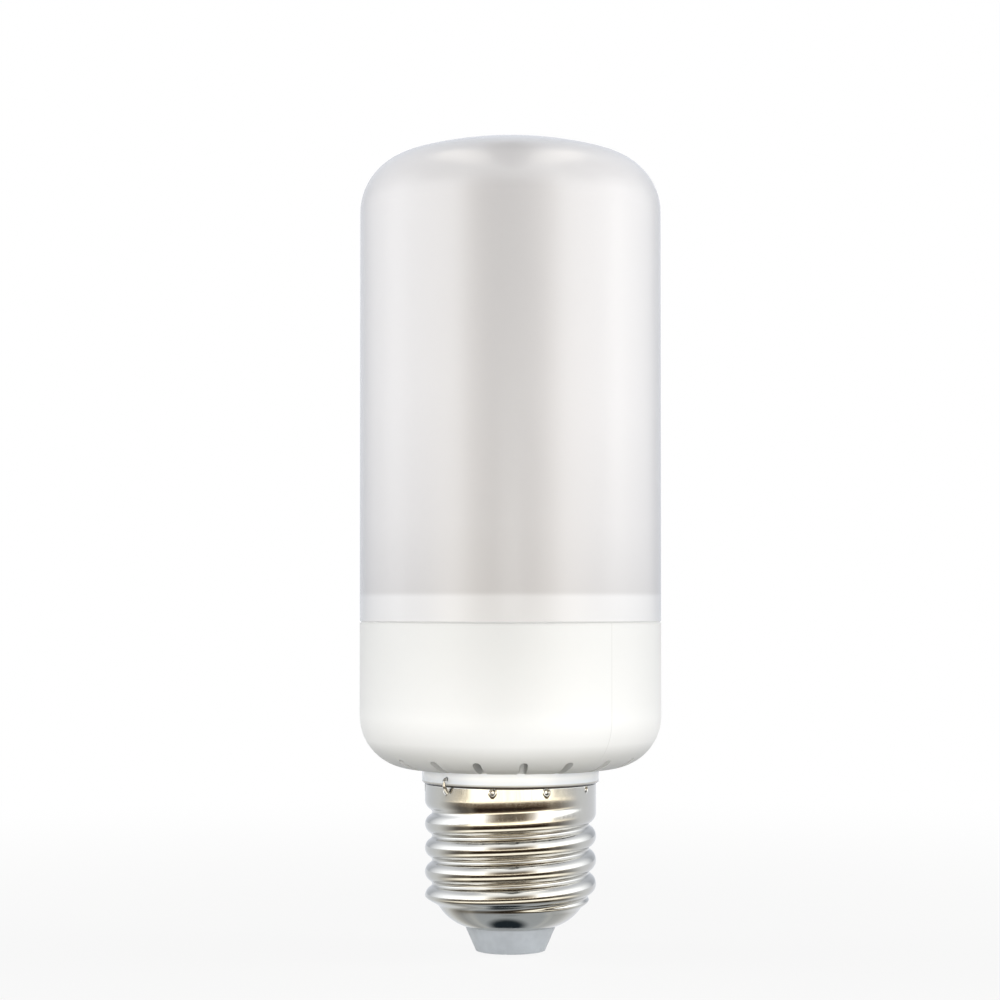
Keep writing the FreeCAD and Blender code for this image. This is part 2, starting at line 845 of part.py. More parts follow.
def make_fuse():
    # Fusible resistor lying along the board's back face, with its two leads
    body = new_body("fuse_resistor")
    lead, radius = size("fuse_lead_radius"), size("fuse_radius")
    low = size("fuse_lead_length")
    high = low + size("fuse_length")
    top = high + size("fuse_lead_length")
    drawing = profile(body, "fuse_profile", [
        to(nought, nought),
        to(lead, nought),
        to(lead, low),
        to(radius, low),
        to(radius, high),
        to(lead, high),
        to(lead, top),
        to(nought, top),
    ])
    turned(body, "fuse_turned", drawing)
    body.setExpression("Placement.Base.x", (board_half_width - size("fuse_inset")).text)
    body.setExpression("Placement.Base.y", (board_face + size("fuse_radius")).text)
    body.setExpression("Placement.Base.z", (board_bottom + size("fuse_rise")).text)
    return body


def bent_wire(points, radius, bend):
    # Straight runs joined by tangent arcs of one bend radius, as a round solid
    edges = []
    start = points[0]
    for before, corner, after in zip(points, points[1:], points[2:]):
        arriving = (corner - before).normalize()
        leaving = (after - corner).normalize()
        turn = math.acos(max(-1.0, min(1.0, arriving.dot(leaving))))
        reach = bend * math.tan(turn / 2)
        entry = corner - arriving * reach
        exit_point = corner + leaving * reach
        inward = (leaving - arriving).normalize()
        middle = corner + inward * (bend / math.cos(turn / 2) - bend)
        edges.append(Part.LineSegment(start, entry).toShape())
        edges.append(Part.Arc(entry, middle, exit_point).toShape())
        start = exit_point
    edges.append(Part.LineSegment(start, points[-1]).toShape())
    path = Part.Wire(edges)
    heading = (points[1] - points[0]).normalize()
    ring = Part.Wire([Part.Circle(points[0], heading, radius).toShape()])
    return path.makePipeShell([ring], True, True)


def wire_feature(name, solids):
    made = document.addObject("Part::Feature", name)
    made.Label = name
    made.Shape = solids[0] if len(solids) == 1 else Part.makeCompound(solids)
    made.Placement = FreeCAD.Placement()
    return made


def make_live_wire():
    # From the rivet of the centre contact up to the board's lower edge
    low = size("insulator_flange_top").value + size("rivet_stand").value
    high = board_bottom.value
    across = input_can_radius.value
    third = (high - low) / 3
    points = [
        FreeCAD.Vector(0, 0, low),
        FreeCAD.Vector(0, 0, low + third),
        FreeCAD.Vector(across, 0, high - third),
        FreeCAD.Vector(across, 0, high),
    ]
    solid = bent_wire(points, size("live_wire_radius").value, size("wire_bend").value)
    return wire_feature("live_wire", [solid])


def make_neutral_wire():
    # From the board out through the collar, with its end bent down over the cap's rim
    radius = size("neutral_wire_radius").value
    bend = size("neutral_wire_bend").value
    level = collar_bottom.value + size("neutral_wire_rise").value
    angle = math.radians(size("neutral_wire_angle").value)
    outward = FreeCAD.Vector(math.cos(angle), math.sin(angle), 0)
    up = FreeCAD.Vector(0, 0, 1)
    outside = outward * (collar_radius.value + bend)
    start = outward * (collar_bore.value - size("neutral_wire_gap").value) + up * level
    end_level = skirt_top.value - size("neutral_wire_end").value
    points = [
        FreeCAD.Vector(start.x, -board_face.value, level),
        start,
        outside + up * level,
        outside + up * skirt_top.value,
        outward * (shell_radius.value + radius) + up * end_level,
    ]
    return wire_feature("neutral_wire", [bent_wire(points, radius, bend)])


def make_link_wires():
    # Two leads from the driver board through the deck to the foot of the flexible board
    radius = size("link_wire_radius").value
    spread = size("link_wire_spread").value
    reach = flex_radius.value + radius
    low = board_top.value
    middle = (low + deck_level.value) / 2
    high = deck_top.value + size("flex_margin").value + size("link_wire_end").value
    solids = []
    for side in (1, -1):
        across = spread * side
        points = [
            FreeCAD.Vector(across, 0, low),
            FreeCAD.Vector(across, 0, middle),
            FreeCAD.Vector(across, reach, middle),
            FreeCAD.Vector(across, reach, high),
        ]
        solids.append(bent_wire(points, radius, size("wire_bend").value))
    return wire_feature("link_wires", solids)


pieces = [
    make_contact(),
    make_insulator(),
    make_shell(),
    make_collar(),
    make_housing(),
    make_diffuser(),
    make_deck(),
    make_deck_screw("deck_screw_1", 0),
    make_deck_screw("deck_screw_2", 180),
    make_column(),
    make_column_cap(),
    make_flex_board(),
    make_choke(),
    make_fuse(),
    make_live_wire(),
    make_neutral_wire(),
    make_link_wires(),
]
pieces += make_board_parts()
pieces += make_cans()
for number in range(1, int(DIMENSIONS["led_rows"]) + 1):
    pieces.append(make_led_row(number))
document.recompute()

# Every object must have come out whole before anything is written
for thing in document.Objects:
    if "Invalid" in thing.State or "Error" in thing.State:
        raise RuntimeError("%s failed: %s" % (thing.Label, thing.State))
for piece in pieces:
    if piece.Shape.isNull() or not piece.Shape.isValid():
        raise RuntimeError("%s has no valid shape" % piece.Label)

os.makedirs("parts", exist_ok=True)
for piece in pieces:
    piece.Shape.exportStep(os.path.join("parts", piece.Label + ".step"))
    print(piece.Label, len(piece.Shape.Solids), round(piece.Shape.Volume, 2))
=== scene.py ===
import math

import bpy
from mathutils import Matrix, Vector


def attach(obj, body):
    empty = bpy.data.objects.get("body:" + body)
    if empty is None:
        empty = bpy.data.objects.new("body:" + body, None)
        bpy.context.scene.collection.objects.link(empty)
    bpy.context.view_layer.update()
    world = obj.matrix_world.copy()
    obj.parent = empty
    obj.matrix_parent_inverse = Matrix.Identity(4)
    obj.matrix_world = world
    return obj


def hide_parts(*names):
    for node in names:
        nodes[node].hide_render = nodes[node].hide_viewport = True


# Flame effect LED bulb with an E27 screw cap: opal diffuser, vented housing, collar and rolled cap.
# Metres, +Z up, front towards -Y.

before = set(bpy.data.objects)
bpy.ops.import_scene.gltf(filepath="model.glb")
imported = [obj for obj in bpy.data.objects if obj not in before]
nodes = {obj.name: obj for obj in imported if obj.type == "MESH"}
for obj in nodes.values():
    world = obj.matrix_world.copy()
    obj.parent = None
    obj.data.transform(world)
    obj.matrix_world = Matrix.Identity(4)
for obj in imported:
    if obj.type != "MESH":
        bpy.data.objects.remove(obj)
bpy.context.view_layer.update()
mm = 0.001
print("frame loaded,", len(nodes), "nodes")


def linearColour(hexText):
    channels = [int(hexText[place:place + 2], 16) / 255 for place in (1, 3, 5)]
    return [c / 12.92 if c <= 0.04045 else ((c + 0.055) / 1.055) ** 2.4 for c in channels] + [1.0]


def addNode(tree, kind, inputs=None, **settings):
    # An input takes a value, or a socket or a node (its first output) that is then linked
    node = tree.nodes.new(kind)
    for name, value in settings.items():
        setattr(node, name, value)
    for name, value in (inputs or {}).items():
        if isinstance(value, bpy.types.Node):
            value = value.outputs[0]
        if isinstance(value, bpy.types.NodeSocket):
            tree.links.new(value, node.inputs[name])
        else:
            node.inputs[name].default_value = value
    return node


def newFinish(name, hexText, roughness, metallic=0.0, **more):
    # A material with its shader set, and its nodes to build on
    finish = bpy.data.materials.new(name)
    finish.use_nodes = True
    tree = finish.node_tree
    shader = tree.nodes["Principled BSDF"]
    shader.inputs["Base Color"].default_value = linearColour(hexText)
    shader.inputs["Roughness"].default_value = roughness
    shader.inputs["Metallic"].default_value = metallic
    for socket, value in more.items():
        shader.inputs[socket.replace("_", " ")].default_value = value
    finish.diffuse_color = linearColour(hexText)
    return finish, tree, shader


def setRamp(node, stops):
    # Colour stops as (place, hex)
    ramp = node.color_ramp
    while len(ramp.elements) > 1:
        ramp.elements.remove(ramp.elements[-1])
    ramp.elements[0].position = stops[0][0]
    ramp.elements[0].color = linearColour(stops[0][1])
    for place, hexText in stops[1:]:
        ramp.elements.new(place).color = linearColour(hexText)


def paint(name, finish):
    nodes[name].material_slots[0].material = finish


cameraValues = {
    "distance": 360 * mm,
    "aside": -1.6 * mm,
    "height": 53 * mm,
    "tiltUp": 1.26,      # degrees
    "lens": 84.7,
    "shiftUp": 0.0525,
}
cameraData = bpy.data.cameras.new("camera")
cameraData.lens = cameraValues["lens"]
cameraData.sensor_width = 36.0
cameraData.shift_y = cameraValues["shiftUp"]
cameraData.clip_start = 0.01
camera = bpy.data.objects.new("camera", cameraData)
camera.location = (cameraValues["aside"], -cameraValues["distance"], cameraValues["height"])
camera.rotation_euler = (math.radians(90 + cameraValues["tiltUp"]), 0, 0)
bpy.context.scene.collection.objects.link(camera)
bpy.context.scene.camera = camera
bpy.context.scene.view_settings.view_transform = "Standard"
print("camera set")


def azimuthPlace(tree, direction):
    # Where a direction points round the lamp, as 0 at the back, 0.25 left, 0.5 at the front, 0.75 right,
    # with the direction's own parts
    split = addNode(tree, "ShaderNodeSeparateXYZ", {0: direction})
    toFront = addNode(tree, "ShaderNodeMath", {0: split.outputs["Y"], 1: -1.0}, operation="MULTIPLY")
    turn = addNode(tree, "ShaderNodeMath", {0: split.outputs["X"], 1: toFront}, operation="ARCTAN2")
    turn = addNode(tree, "ShaderNodeMath", {0: turn, 1: 0.5 / math.pi, 2: 0.5}, operation="MULTIPLY_ADD")
    return turn, split


# Studio as gloss sees it: tall bright panels at both sides with a dark gap between them where the camera
# stands, a pale ceiling with two lamp strips and a dark opening between them, and rings of light and shade
# on the table top in front of the lamp.
# Places go round the lamp from the back (0) over the left (0.25), the front (0.5) and the right (0.75).
studioValues = {
    "wallGlow": 2.5,
    "wallRound": [(0.0, "#9A9DA3"), (0.1, "#86898E"), (0.2, "#D3D5D9"), (0.27, "#EFF1F4"),
                  (0.33, "#F8F8F8"), (0.385, "#FFFEFC"), (0.42, "#A9A297"), (0.45, "#645B4F"),
                  (0.5, "#50483E"), (0.55, "#645B4F"), (0.58, "#A9A297"), (0.615, "#FFFEFC"),
                  (0.73, "#FAFBFC"), (0.8, "#DCDEE1"), (0.9, "#808388"), (1.0, "#9A9DA3")],
    "ceilingRise": (0.22, 0.75),         # the walls turn into the ceiling between these, with 1 straight up
    "ceilingRound": [(0.0, "#9EA1A7"), (0.3, "#9C9DA0"), (0.39, "#C9C9C8"), (0.5, "#CBCBC9"),
                     (0.61, "#C9C9C8"), (0.7, "#9C9DA0"), (1.0, "#9EA1A7")],
    # Two lamp strips over the lamp and a dark opening between them, as places on a ceiling 1 m up
    "stripPlace": (0.40, -0.06, 1.0),
    "stripTurn": -7.0,                   # degrees
    "stripSize": (0.26, 0.60, 1.0),
    "stripColour": "#FFFCF6",
    "stripGlow": 2.35,
    "openPlace": (0.0, -0.15, 1.0),
    "openTurn": 0.0,
    "openSize": (0.24, 0.90, 1.0),
    "openColour": "#14171D",
    "openGlow": 1.0,
    "floorGlow": 3.4,
    "floorRound": [(0.0, "#8C8E92"), (0.13, "#86888B"), (0.2, "#888989"), (0.25, "#787774"),
                   (0.305, "#5C5A56"), (0.335, "#847F74"), (0.36, "#F4EAD4"), (0.5, "#EFE2C8"),
                   (0.64, "#F4ECDC"), (0.67, "#83817C"), (0.72, "#7D7D7C"), (0.8, "#8B8C8D"),
                   (0.87, "#8B8C8F"), (1.0, "#8C8E92")],
    "ringReach": 0.3,        # metres from the lamp's axis where the rings end
    "rings": [(0.0, "#6B6E70"), (0.042, "#6B6E70"), (0.05, "#413D37"), (0.055, "#140E0A"),
              (0.062, "#140E0A"), (0.071, "#7A7162"), (0.078, "#C4BFB2"), (0.1, "#C4BFB2"),
              (0.117, "#403428"), (0.135, "#19130E"), (0.24, "#1C1510"), (0.32, "#3F352A"),
              (0.62, "#493F34"), (0.74, "#EFE2C8"), (1.0, "#EFE2C8")],
    "ringSide": (0.25, -0.75),   # the rings fade in between these, as -1 in front and 1 behind
    # a painted shadow: the dark spot under the cap that gloss sees on the table top
    "spotPlace": (-0.0007, -0.0070, 0),  # gloss sees a dark spot under the cap, metres
    "spotReach": 0.0052,
    "spotCore": 0.45,                    # share of the reach that is wholly dark
    "shadowSpotColour": "#12171B",
    "whiteReach": (0.03, 0.3),           # the camera sees the floor turn white between these, metres
    "whiteNear": 0.9,
    "fillRange": (-0.5, 0.8),            # the fill changes between these, as -1 in front and 1 behind
    "fillGlow": (0.37, 0.08),
}
studio = studioValues

# Floor, a sheet of white card
bpy.ops.mesh.primitive_plane_add(size=3.2, location=(0, 0, 0))
floor = bpy.context.object
floor.name = "floor"
card, tree, shader = newFinish("whiteCard", "#B9B8B5", 0.9)
output = tree.nodes["Material Output"]
place = addNode(tree, "ShaderNodeTexCoord").outputs["Object"]
around, split = azimuthPlace(tree, place)
roundColour = addNode(tree, "ShaderNodeValToRGB", {0: around})
setRamp(roundColour, studio["floorRound"])
reach = addNode(tree, "ShaderNodeVectorMath", {0: place}, operation="LENGTH").outputs["Value"]
ringPlace = addNode(tree, "ShaderNodeMath", {0: reach, 1: studio["ringReach"]}, operation="DIVIDE")
rings = addNode(tree, "ShaderNodeValToRGB", {0: ringPlace})
setRamp(rings, studio["rings"])
turnAway = addNode(tree, "ShaderNodeMath", {0: split.outputs["Y"], 1: reach}, operation="DIVIDE")
frontOnly = addNode(tree, "ShaderNodeMapRange", {0: turnAway, 1: studio["ringSide"][0],
                    2: studio["ringSide"][1]}, interpolation_type="SMOOTHSTEP")
inReach = addNode(tree, "ShaderNodeMath", {0: reach, 1: studio["ringReach"]}, operation="LESS_THAN")
ringShare = addNode(tree, "ShaderNodeMath", {0: frontOnly, 1: inReach}, operation="MULTIPLY")
ringed = addNode(tree, "ShaderNodeMix", {"Factor": ringShare, 6: roundColour, 7: rings}, data_type="RGBA")
# Painted shadow under the cap, only in the table top that gloss sees
toSpot = addNode(tree, "ShaderNodeVectorMath", {0: place, 1: studio["spotPlace"]},
                 operation="DISTANCE").outputs["Value"]
spotShare = addNode(tree, "ShaderNodeMapRange", {0: toSpot, 1: studio["spotReach"],
                    2: studio["spotReach"] * studio["spotCore"]}, interpolation_type="SMOOTHSTEP")
tableTop = addNode(tree, "ShaderNodeMix", {"Factor": spotShare, 6: ringed.outputs[2],
                   7: linearColour(studio["shadowSpotColour"])}, data_type="RGBA")
rays = addNode(tree, "ShaderNodeLightPath")
seenWhite = addNode(tree, "ShaderNodeEmission", {"Color": (1, 1, 1, 1), "Strength": 1.0})
seenGlossy = addNode(tree, "ShaderNodeEmission", {"Color": tableTop.outputs[2],
                     "Strength": studio["floorGlow"]})
farWhite = addNode(tree, "ShaderNodeMapRange", {0: reach, 1: studio["whiteReach"][0],
                   2: studio["whiteReach"][1], 3: studio["whiteNear"], 4: 1.0},
                   interpolation_type="SMOOTHSTEP")
cameraMix = addNode(tree, "ShaderNodeMath", {0: rays.outputs["Is Camera Ray"], 1: farWhite},
                    operation="MULTIPLY")
straight = addNode(tree, "ShaderNodeMath", {0: cameraMix, 1: rays.outputs["Is Transmission Ray"]},
                   operation="MAXIMUM")
mixGlossy = addNode(tree, "ShaderNodeMixShader", {0: rays.outputs["Is Glossy Ray"], 1: shader, 2: seenGlossy})
mixSeen = addNode(tree, "ShaderNodeMixShader", {0: straight, 1: mixGlossy, 2: seenWhite})
tree.links.new(mixSeen.outputs[0], output.inputs["Surface"])
floor.data.materials.append(card)

# World: a fill that comes mostly from the front, white for the camera, studio walls for gloss
world = bpy.data.worlds.new("studio")
bpy.context.scene.world = world
world.use_nodes = True
tree = world.node_tree
tree.nodes.clear()
place = addNode(tree, "ShaderNodeTexCoord")
around, split = azimuthPlace(tree, place.outputs["Generated"])
walls = addNode(tree, "ShaderNodeValToRGB", {0: around})
setRamp(walls, studio["wallRound"])
overhead = addNode(tree, "ShaderNodeMapRange", {0: split.outputs["Z"], 1: studio["ceilingRise"][0],
                   2: studio["ceilingRise"][1]}, interpolation_type="SMOOTHSTEP")
ceiling = addNode(tree, "ShaderNodeValToRGB", {0: around})
setRamp(ceiling, studio["ceilingRound"])
room = addNode(tree, "ShaderNodeMix", {"Factor": overhead, 6: walls, 7: ceiling}, data_type="RGBA")
fillGlow = addNode(tree, "ShaderNodeMapRange", {0: split.outputs["Y"], 1: studio["fillRange"][0],
                   2: studio["fillRange"][1], 3: studio["fillGlow"][0], 4: studio["fillGlow"][1]},
                   interpolation_type="SMOOTHSTEP")
rays = addNode(tree, "ShaderNodeLightPath")
seen = addNode(tree, "ShaderNodeMath", {0: rays.outputs["Is Camera Ray"],
               1: rays.outputs["Is Transmission Ray"]}, operation="MAXIMUM")
fill = addNode(tree, "ShaderNodeBackground", {"Color": (1, 1, 1, 1), "Strength": fillGlow})
glossy = addNode(tree, "ShaderNodeBackground", {"Color": room.outputs[2], "Strength": studio["wallGlow"]})
rise = addNode(tree, "ShaderNodeMath", {0: split.outputs["Z"], 1: 0.001}, operation="MAXIMUM")
upHigh = addNode(tree, "ShaderNodeMath", {0: 1.0, 1: rise}, operation="DIVIDE")
overPlace = addNode(tree, "ShaderNodeVectorMath", {0: place.outputs["Generated"], "Scale": upHigh},
                    operation="SCALE")
overSplit = addNode(tree, "ShaderNodeSeparateXYZ", {0: overPlace})
oneSide = addNode(tree, "ShaderNodeMath", {0: overSplit}, operation="ABSOLUTE")
overSides = addNode(tree, "ShaderNodeCombineXYZ", {0: oneSide, 1: overSplit.outputs["Y"], 2: 1.0})
for name, spot in (("open", overPlace), ("strip", overSides)):
    spot = addNode(tree, "ShaderNodeMapping", {"Vector": spot, "Location": studio[name + "Place"],
                   "Rotation": (0, 0, math.radians(studio[name + "Turn"])),
                   "Scale": studio[name + "Size"]}, vector_type="TEXTURE")
    away = addNode(tree, "ShaderNodeVectorMath", {0: spot}, operation="LENGTH").outputs["Value"]
    share = addNode(tree, "ShaderNodeMapRange", {0: away, 1: 1.0, 2: 0.5}, interpolation_type="SMOOTHSTEP")
    glow = addNode(tree, "ShaderNodeBackground", {"Color": linearColour(studio[name + "Colour"]),
                   "Strength": studio[name + "Glow"]})
    glossy = addNode(tree, "ShaderNodeMixShader", {0: share, 1: glossy, 2: glow})
white = addNode(tree, "ShaderNodeBackground", {"Color": (1, 1, 1, 1), "Strength": 1.0})
mixGlossy = addNode(tree, "ShaderNodeMixShader", {0: rays.outputs["Is Glossy Ray"], 1: fill, 2: glossy})
mixSeen = addNode(tree, "ShaderNodeMixShader", {0: seen, 1: mixGlossy, 2: white})
addNode(tree, "ShaderNodeOutputWorld", {"Surface": mixSeen})

# Lamps, for the shading alone: a strip at each side, a broad one in front, and a small one close before the
# foot that shines up. Azimuths are in degrees from the front, and aim is a height on the bulb's axis.
lampValues = {
    "left": {"azimuth": -95, "distance": 0.6, "height": 0.26, "width": 0.2, "tall": 0.48, "watts": 2.42,
             "aim": 0.1},
    "right": {"azimuth": 88, "distance": 0.6, "height": 0.26, "width": 0.2, "tall": 0.48, "watts": 2.7,
              "aim": 0.1},
    "front": {"azimuth": 0, "distance": 0.7, "height": 0.07, "width": 0.2, "tall": 0.12, "watts": 2.6,
              "aim": 0.08},
    "low": {"azimuth": 0, "distance": 0.06, "height": 0.006, "width": 0.06, "tall": 0.012, "watts": 0.0076,
            "aim": 0.055},
}
for name, lamp in lampValues.items():
    data = bpy.data.lights.new(name, "AREA")
    data.shape = "RECTANGLE"
    data.size = lamp["width"]
    data.size_y = lamp["tall"]
    data.energy = lamp["watts"]
    panel = bpy.data.objects.new(name, data)
    turn = math.radians(lamp["azimuth"])
    panel.location = (math.sin(turn) * lamp["distance"], -math.cos(turn) * lamp["distance"], lamp["height"])
    aim = Vector((0, 0, lamp["aim"])) - panel.location
    panel.rotation_euler = aim.to_track_quat("-Z", "Y").to_euler()
    panel.visible_glossy = False
    panel.visible_camera = False
    bpy.context.scene.collection.objects.link(panel)
print("studio lit")

# Rolled screw shell: a sheet-metal tube whose round thread is rolled out from the root radius.
# Sizes in millimetres.
shellValues = {
    "crestRadius": 13.05,
    "threadDepth": 1.08,
    "sheet": 0.3,
    "pitch": 3.629,
    "entry": 5.03,
    "crestBend": 1.6,        # radius of the round crest
    "mouthRadius": 7.0,
    "mouthLevel": 4.1,
    "bottomBend": 7.0,
    "foot": 6.8,             # where the first crest starts to swell
    "firstCrest": 8.8,
    "rim": 25.8,
    "fadeLow": 21.4,         # the thread runs out between these levels, down to a shallow groove
    "fadeHigh": 22.1,
    "fadeRest": 0.15,
    "fadeEnd": 23.2,         # where that groove ends in the skirt
    "stakes": 10,
    "stakeTurn": 6.0,        # degrees
    "stakeLow": 0.52,        # from the rim down to the middle of a stake
    "stakeWide": 0.44,
    "stakeTall": 0.55,
    "stakeDeep": 0.26,
    "stakeWall": 0.55,       # share of a stake's reach that its sloping wall takes
    "lipOut": 0.12,          # the lip's ridge outside the stake's edge, its half width and its height,
    "lipWide": 0.3,          # as shares of the stake's reach and depth
    "lipHigh": 0.2,
    "around": 560,
    "crowding": 0.65,        # how far the columns crowd together at the stakes
    "bottomEnd": 6.6,        # rows follow each other in bottomStep up to here,
    "rimStart": 24.5,        # then in rowStep up to here, and then in rimStep
    "bottomStep": 0.12,
    "rowStep": 0.2,
    "rimStep": 0.08,
    "innerStep": 0.6,
    "rimGap": 0.06,          # from the last row to the rim
    "rimRound": 0.07,
    "rimCorner": (0.015, 0.05),          # the point between the rim's outer side and its top, in and down
}


def smoothStep(low, high, value):
    part = min(1.0, max(0.0, (value - low) / (high - low)))
    return part * part * (3 - 2 * part)


def shellSection(sizes):
    # Half section as points (radius, swell, height): the swell is how far a crest stands out there
    root = sizes["crestRadius"] - sizes["threadDepth"]
    across = root - sizes["bottomBend"]
    up = sizes["mouthLevel"] + math.sqrt(sizes["bottomBend"] ** 2 - (sizes["mouthRadius"] - across) ** 2)
    outer, inner = [], []
    for points, sheet in ((outer, 0.0), (inner, sizes["sheet"])):
        bend = sizes["bottomBend"] - sheet
        height = up - math.sqrt(bend ** 2 - (sizes["mouthRadius"] - across) ** 2)
        while height < sizes["rim"] - sizes["rimGap"] - sheet:
            radius = across + (math.sqrt(bend ** 2 - (up - height) ** 2) if height < up else bend)
            full = sizes["crestRadius"] - sheet - radius
            points.append((radius, full * smoothStep(sizes["foot"], sizes["firstCrest"], height), height))
            if sheet:
                height += sizes["innerStep"]
            elif height < sizes["bottomEnd"]:
                height += sizes["bottomStep"]
            elif height < sizes["rimStart"]:
                height += sizes["rowStep"]
            else:
                height += sizes["rimStep"]
    rim = [(root - sizes["rimCorner"][0], sizes["threadDepth"], sizes["rim"] - sizes["rimCorner"][1]),
           (root - sizes["rimRound"], sizes["threadDepth"], sizes["rim"]),
           (root - sizes["sheet"] + sizes["rimRound"], sizes["threadDepth"], sizes["rim"]),
           (root - sizes["sheet"], sizes["threadDepth"], sizes["rim"] - sizes["rimRound"])]
    return outer + rim + inner[::-1]


def rolledShellTree(finish):
    tree = bpy.data.node_groups.new("rolledShell", "GeometryNodeTree")
    sockets = tree.interface
    sockets.new_socket("Section", in_out="INPUT", socket_type="NodeSocketGeometry")
    for name in ("Around", "Stakes"):
        sockets.new_socket(name, in_out="INPUT", socket_type="NodeSocketInt")
    for name in ("Pitch", "Entry", "Depth", "Crest bend", "Fade low", "Fade high", "Fade rest", "Fade end",
                 "Rim", "Stake turn", "Stake low", "Stake wide", "Stake tall", "Stake deep", "Stake wall",
                 "Lip out", "Lip wide", "Lip high", "Crowding"):
        sockets.new_socket(name, in_out="INPUT", socket_type="NodeSocketFloat")
    sockets.new_socket("Shell", in_out="OUTPUT", socket_type="NodeSocketGeometry")
    given = tree.nodes.new("NodeGroupInput").outputs
    maths = "ShaderNodeMath"

    # A grid that is bent into the closed section, once round the axis
    points = addNode(tree, "GeometryNodeAttributeDomainSize", {"Geometry": given["Section"]})
    count = points.outputs["Point Count"]
    rows = addNode(tree, maths, {0: count, 1: 1.0}, operation="ADD")
    columns = addNode(tree, maths, {0: given["Around"], 1: 1.0}, operation="ADD")
    grid = addNode(tree, "GeometryNodeMeshGrid", {"Size X": 1.0, "Size Y": 1.0, "Vertices X": columns,
                   "Vertices Y": rows})
    flat = addNode(tree, "ShaderNodeSeparateXYZ", {0: addNode(tree, "GeometryNodeInputPosition")})
    even = addNode(tree, maths, {0: flat.outputs["X"], 1: 0.5}, operation="ADD")
    phase = addNode(tree, maths, {0: given["Stake turn"], 1: 360.0}, operation="DIVIDE")
    beats = addNode(tree, maths, {0: given["Stakes"], 1: 2 * math.pi}, operation="MULTIPLY")
    wave = addNode(tree, maths, {0: even, 1: phase}, operation="SUBTRACT")
    wave = addNode(tree, maths, {0: wave, 1: beats}, operation="MULTIPLY")
    wave = addNode(tree, maths, {0: wave}, operation="SINE")
    wave = addNode(tree, maths, {0: wave, 1: given["Crowding"]}, operation="MULTIPLY")
    wave = addNode(tree, maths, {0: wave, 1: beats}, operation="DIVIDE")
    turn = addNode(tree, maths, {0: even, 1: wave}, operation="SUBTRACT")
    upTo = addNode(tree, maths, {0: flat.outputs["Y"], 1: 0.5}, operation="ADD")
    upTo = addNode(tree, maths, {0: upTo, 1: count}, operation="MULTIPLY")
    row = addNode(tree, maths, {0: upTo}, operation="ROUND")
    row = addNode(tree, maths, {0: row, 1: count}, operation="MODULO")
    point = addNode(tree, "GeometryNodeInputPosition")
    sampled = addNode(tree, "GeometryNodeSampleIndex", {"Geometry": given["Section"], "Value": point,
                      "Index": row}, data_type="FLOAT_VECTOR", domain="POINT")
    base = addNode(tree, "ShaderNodeSeparateXYZ", {0: sampled})
    radius, swell, height = base.outputs["X"], base.outputs["Y"], base.outputs["Z"]

    # The nearest groove, and how far above or below it this point lies
    over = addNode(tree, maths, {0: height, 1: given["Entry"]}, operation="SUBTRACT")
    over = addNode(tree, maths, {0: over, 1: given["Pitch"]}, operation="DIVIDE")
    turns = addNode(tree, maths, {0: over, 1: turn}, operation="SUBTRACT")
    turns = addNode(tree, maths, {0: turns}, operation="ROUND")
    turns = addNode(tree, maths, {0: turns, 1: turn}, operation="ADD")
    groove = addNode(tree, maths, {0: turns, 1: given["Pitch"], 2: given["Entry"]}, operation="MULTIPLY_ADD")
    above = addNode(tree, maths, {0: height, 1: groove}, operation="SUBTRACT")
    half = addNode(tree, maths, {0: given["Pitch"], 1: 0.5}, operation="MULTIPLY")
    away = addNode(tree, maths, {0: above}, operation="ABSOLUTE")
    away = addNode(tree, maths, {0: away, 1: half}, operation="MINIMUM")

    # A crest arc and a root arc that meet tangent
    depthSquared = addNode(tree, maths, {0: given["Depth"], 1: given["Depth"]}, operation="MULTIPLY")
    bends = addNode(tree, maths, {0: half, 1: half, 2: depthSquared}, operation="MULTIPLY_ADD")
    bends = addNode(tree, maths, {0: bends, 1: given["Depth"]}, operation="DIVIDE")
    bends = addNode(tree, maths, {0: bends, 1: 0.5}, operation="MULTIPLY")
    rootBend = addNode(tree, maths, {0: bends, 1: given["Crest bend"]}, operation="SUBTRACT")
    meet = addNode(tree, maths, {0: half, 1: rootBend}, operation="MULTIPLY")
    meet = addNode(tree, maths, {0: meet, 1: bends}, operation="DIVIDE")
    rest = addNode(tree, maths, {0: half, 1: away}, operation="SUBTRACT")
    arcs = []
    for bend, place in ((rootBend, away), (given["Crest bend"], rest)):
        squared = addNode(tree, maths, {0: bend, 1: bend}, operation="MULTIPLY")
        reach = addNode(tree, maths, {0: place, 1: place}, operation="MULTIPLY")
        left = addNode(tree, maths, {0: squared, 1: reach}, operation="SUBTRACT")
        left = addNode(tree, maths, {0: left, 1: 0.0}, operation="MAXIMUM")
        left = addNode(tree, maths, {0: left}, operation="SQRT")
        arcs.append(addNode(tree, maths, {0: bend, 1: left}, operation="SUBTRACT"))
    fromRoot = addNode(tree, maths, {0: given["Depth"], 1: arcs[0]}, operation="SUBTRACT")
    nearRoot = addNode(tree, maths, {0: away, 1: meet}, operation="LESS_THAN")
    deep = addNode(tree, "ShaderNodeMix", {"Factor": nearRoot, 2: arcs[1], 3: fromRoot})
    fade = addNode(tree, "ShaderNodeMapRange", {0: groove, 1: given["Fade low"], 2: given["Fade high"],
                   3: 1.0, 4: given["Fade rest"]}, interpolation_type="SMOOTHSTEP")
    ending = addNode(tree, "ShaderNodeMapRange", {0: groove, 1: given["Fade high"], 2: given["Fade end"],
                     3: 1.0, 4: 0.0}, interpolation_type="SMOOTHSTEP")
    fade = addNode(tree, maths, {0: fade, 1: ending}, operation="MULTIPLY")
    share = addNode(tree, maths, {0: deep, 1: given["Depth"]}, operation="DIVIDE")
    share = addNode(tree, maths, {0: share, 1: fade}, operation="MULTIPLY")
    share = addNode(tree, maths, {0: 1.0, 1: share}, operation="SUBTRACT")
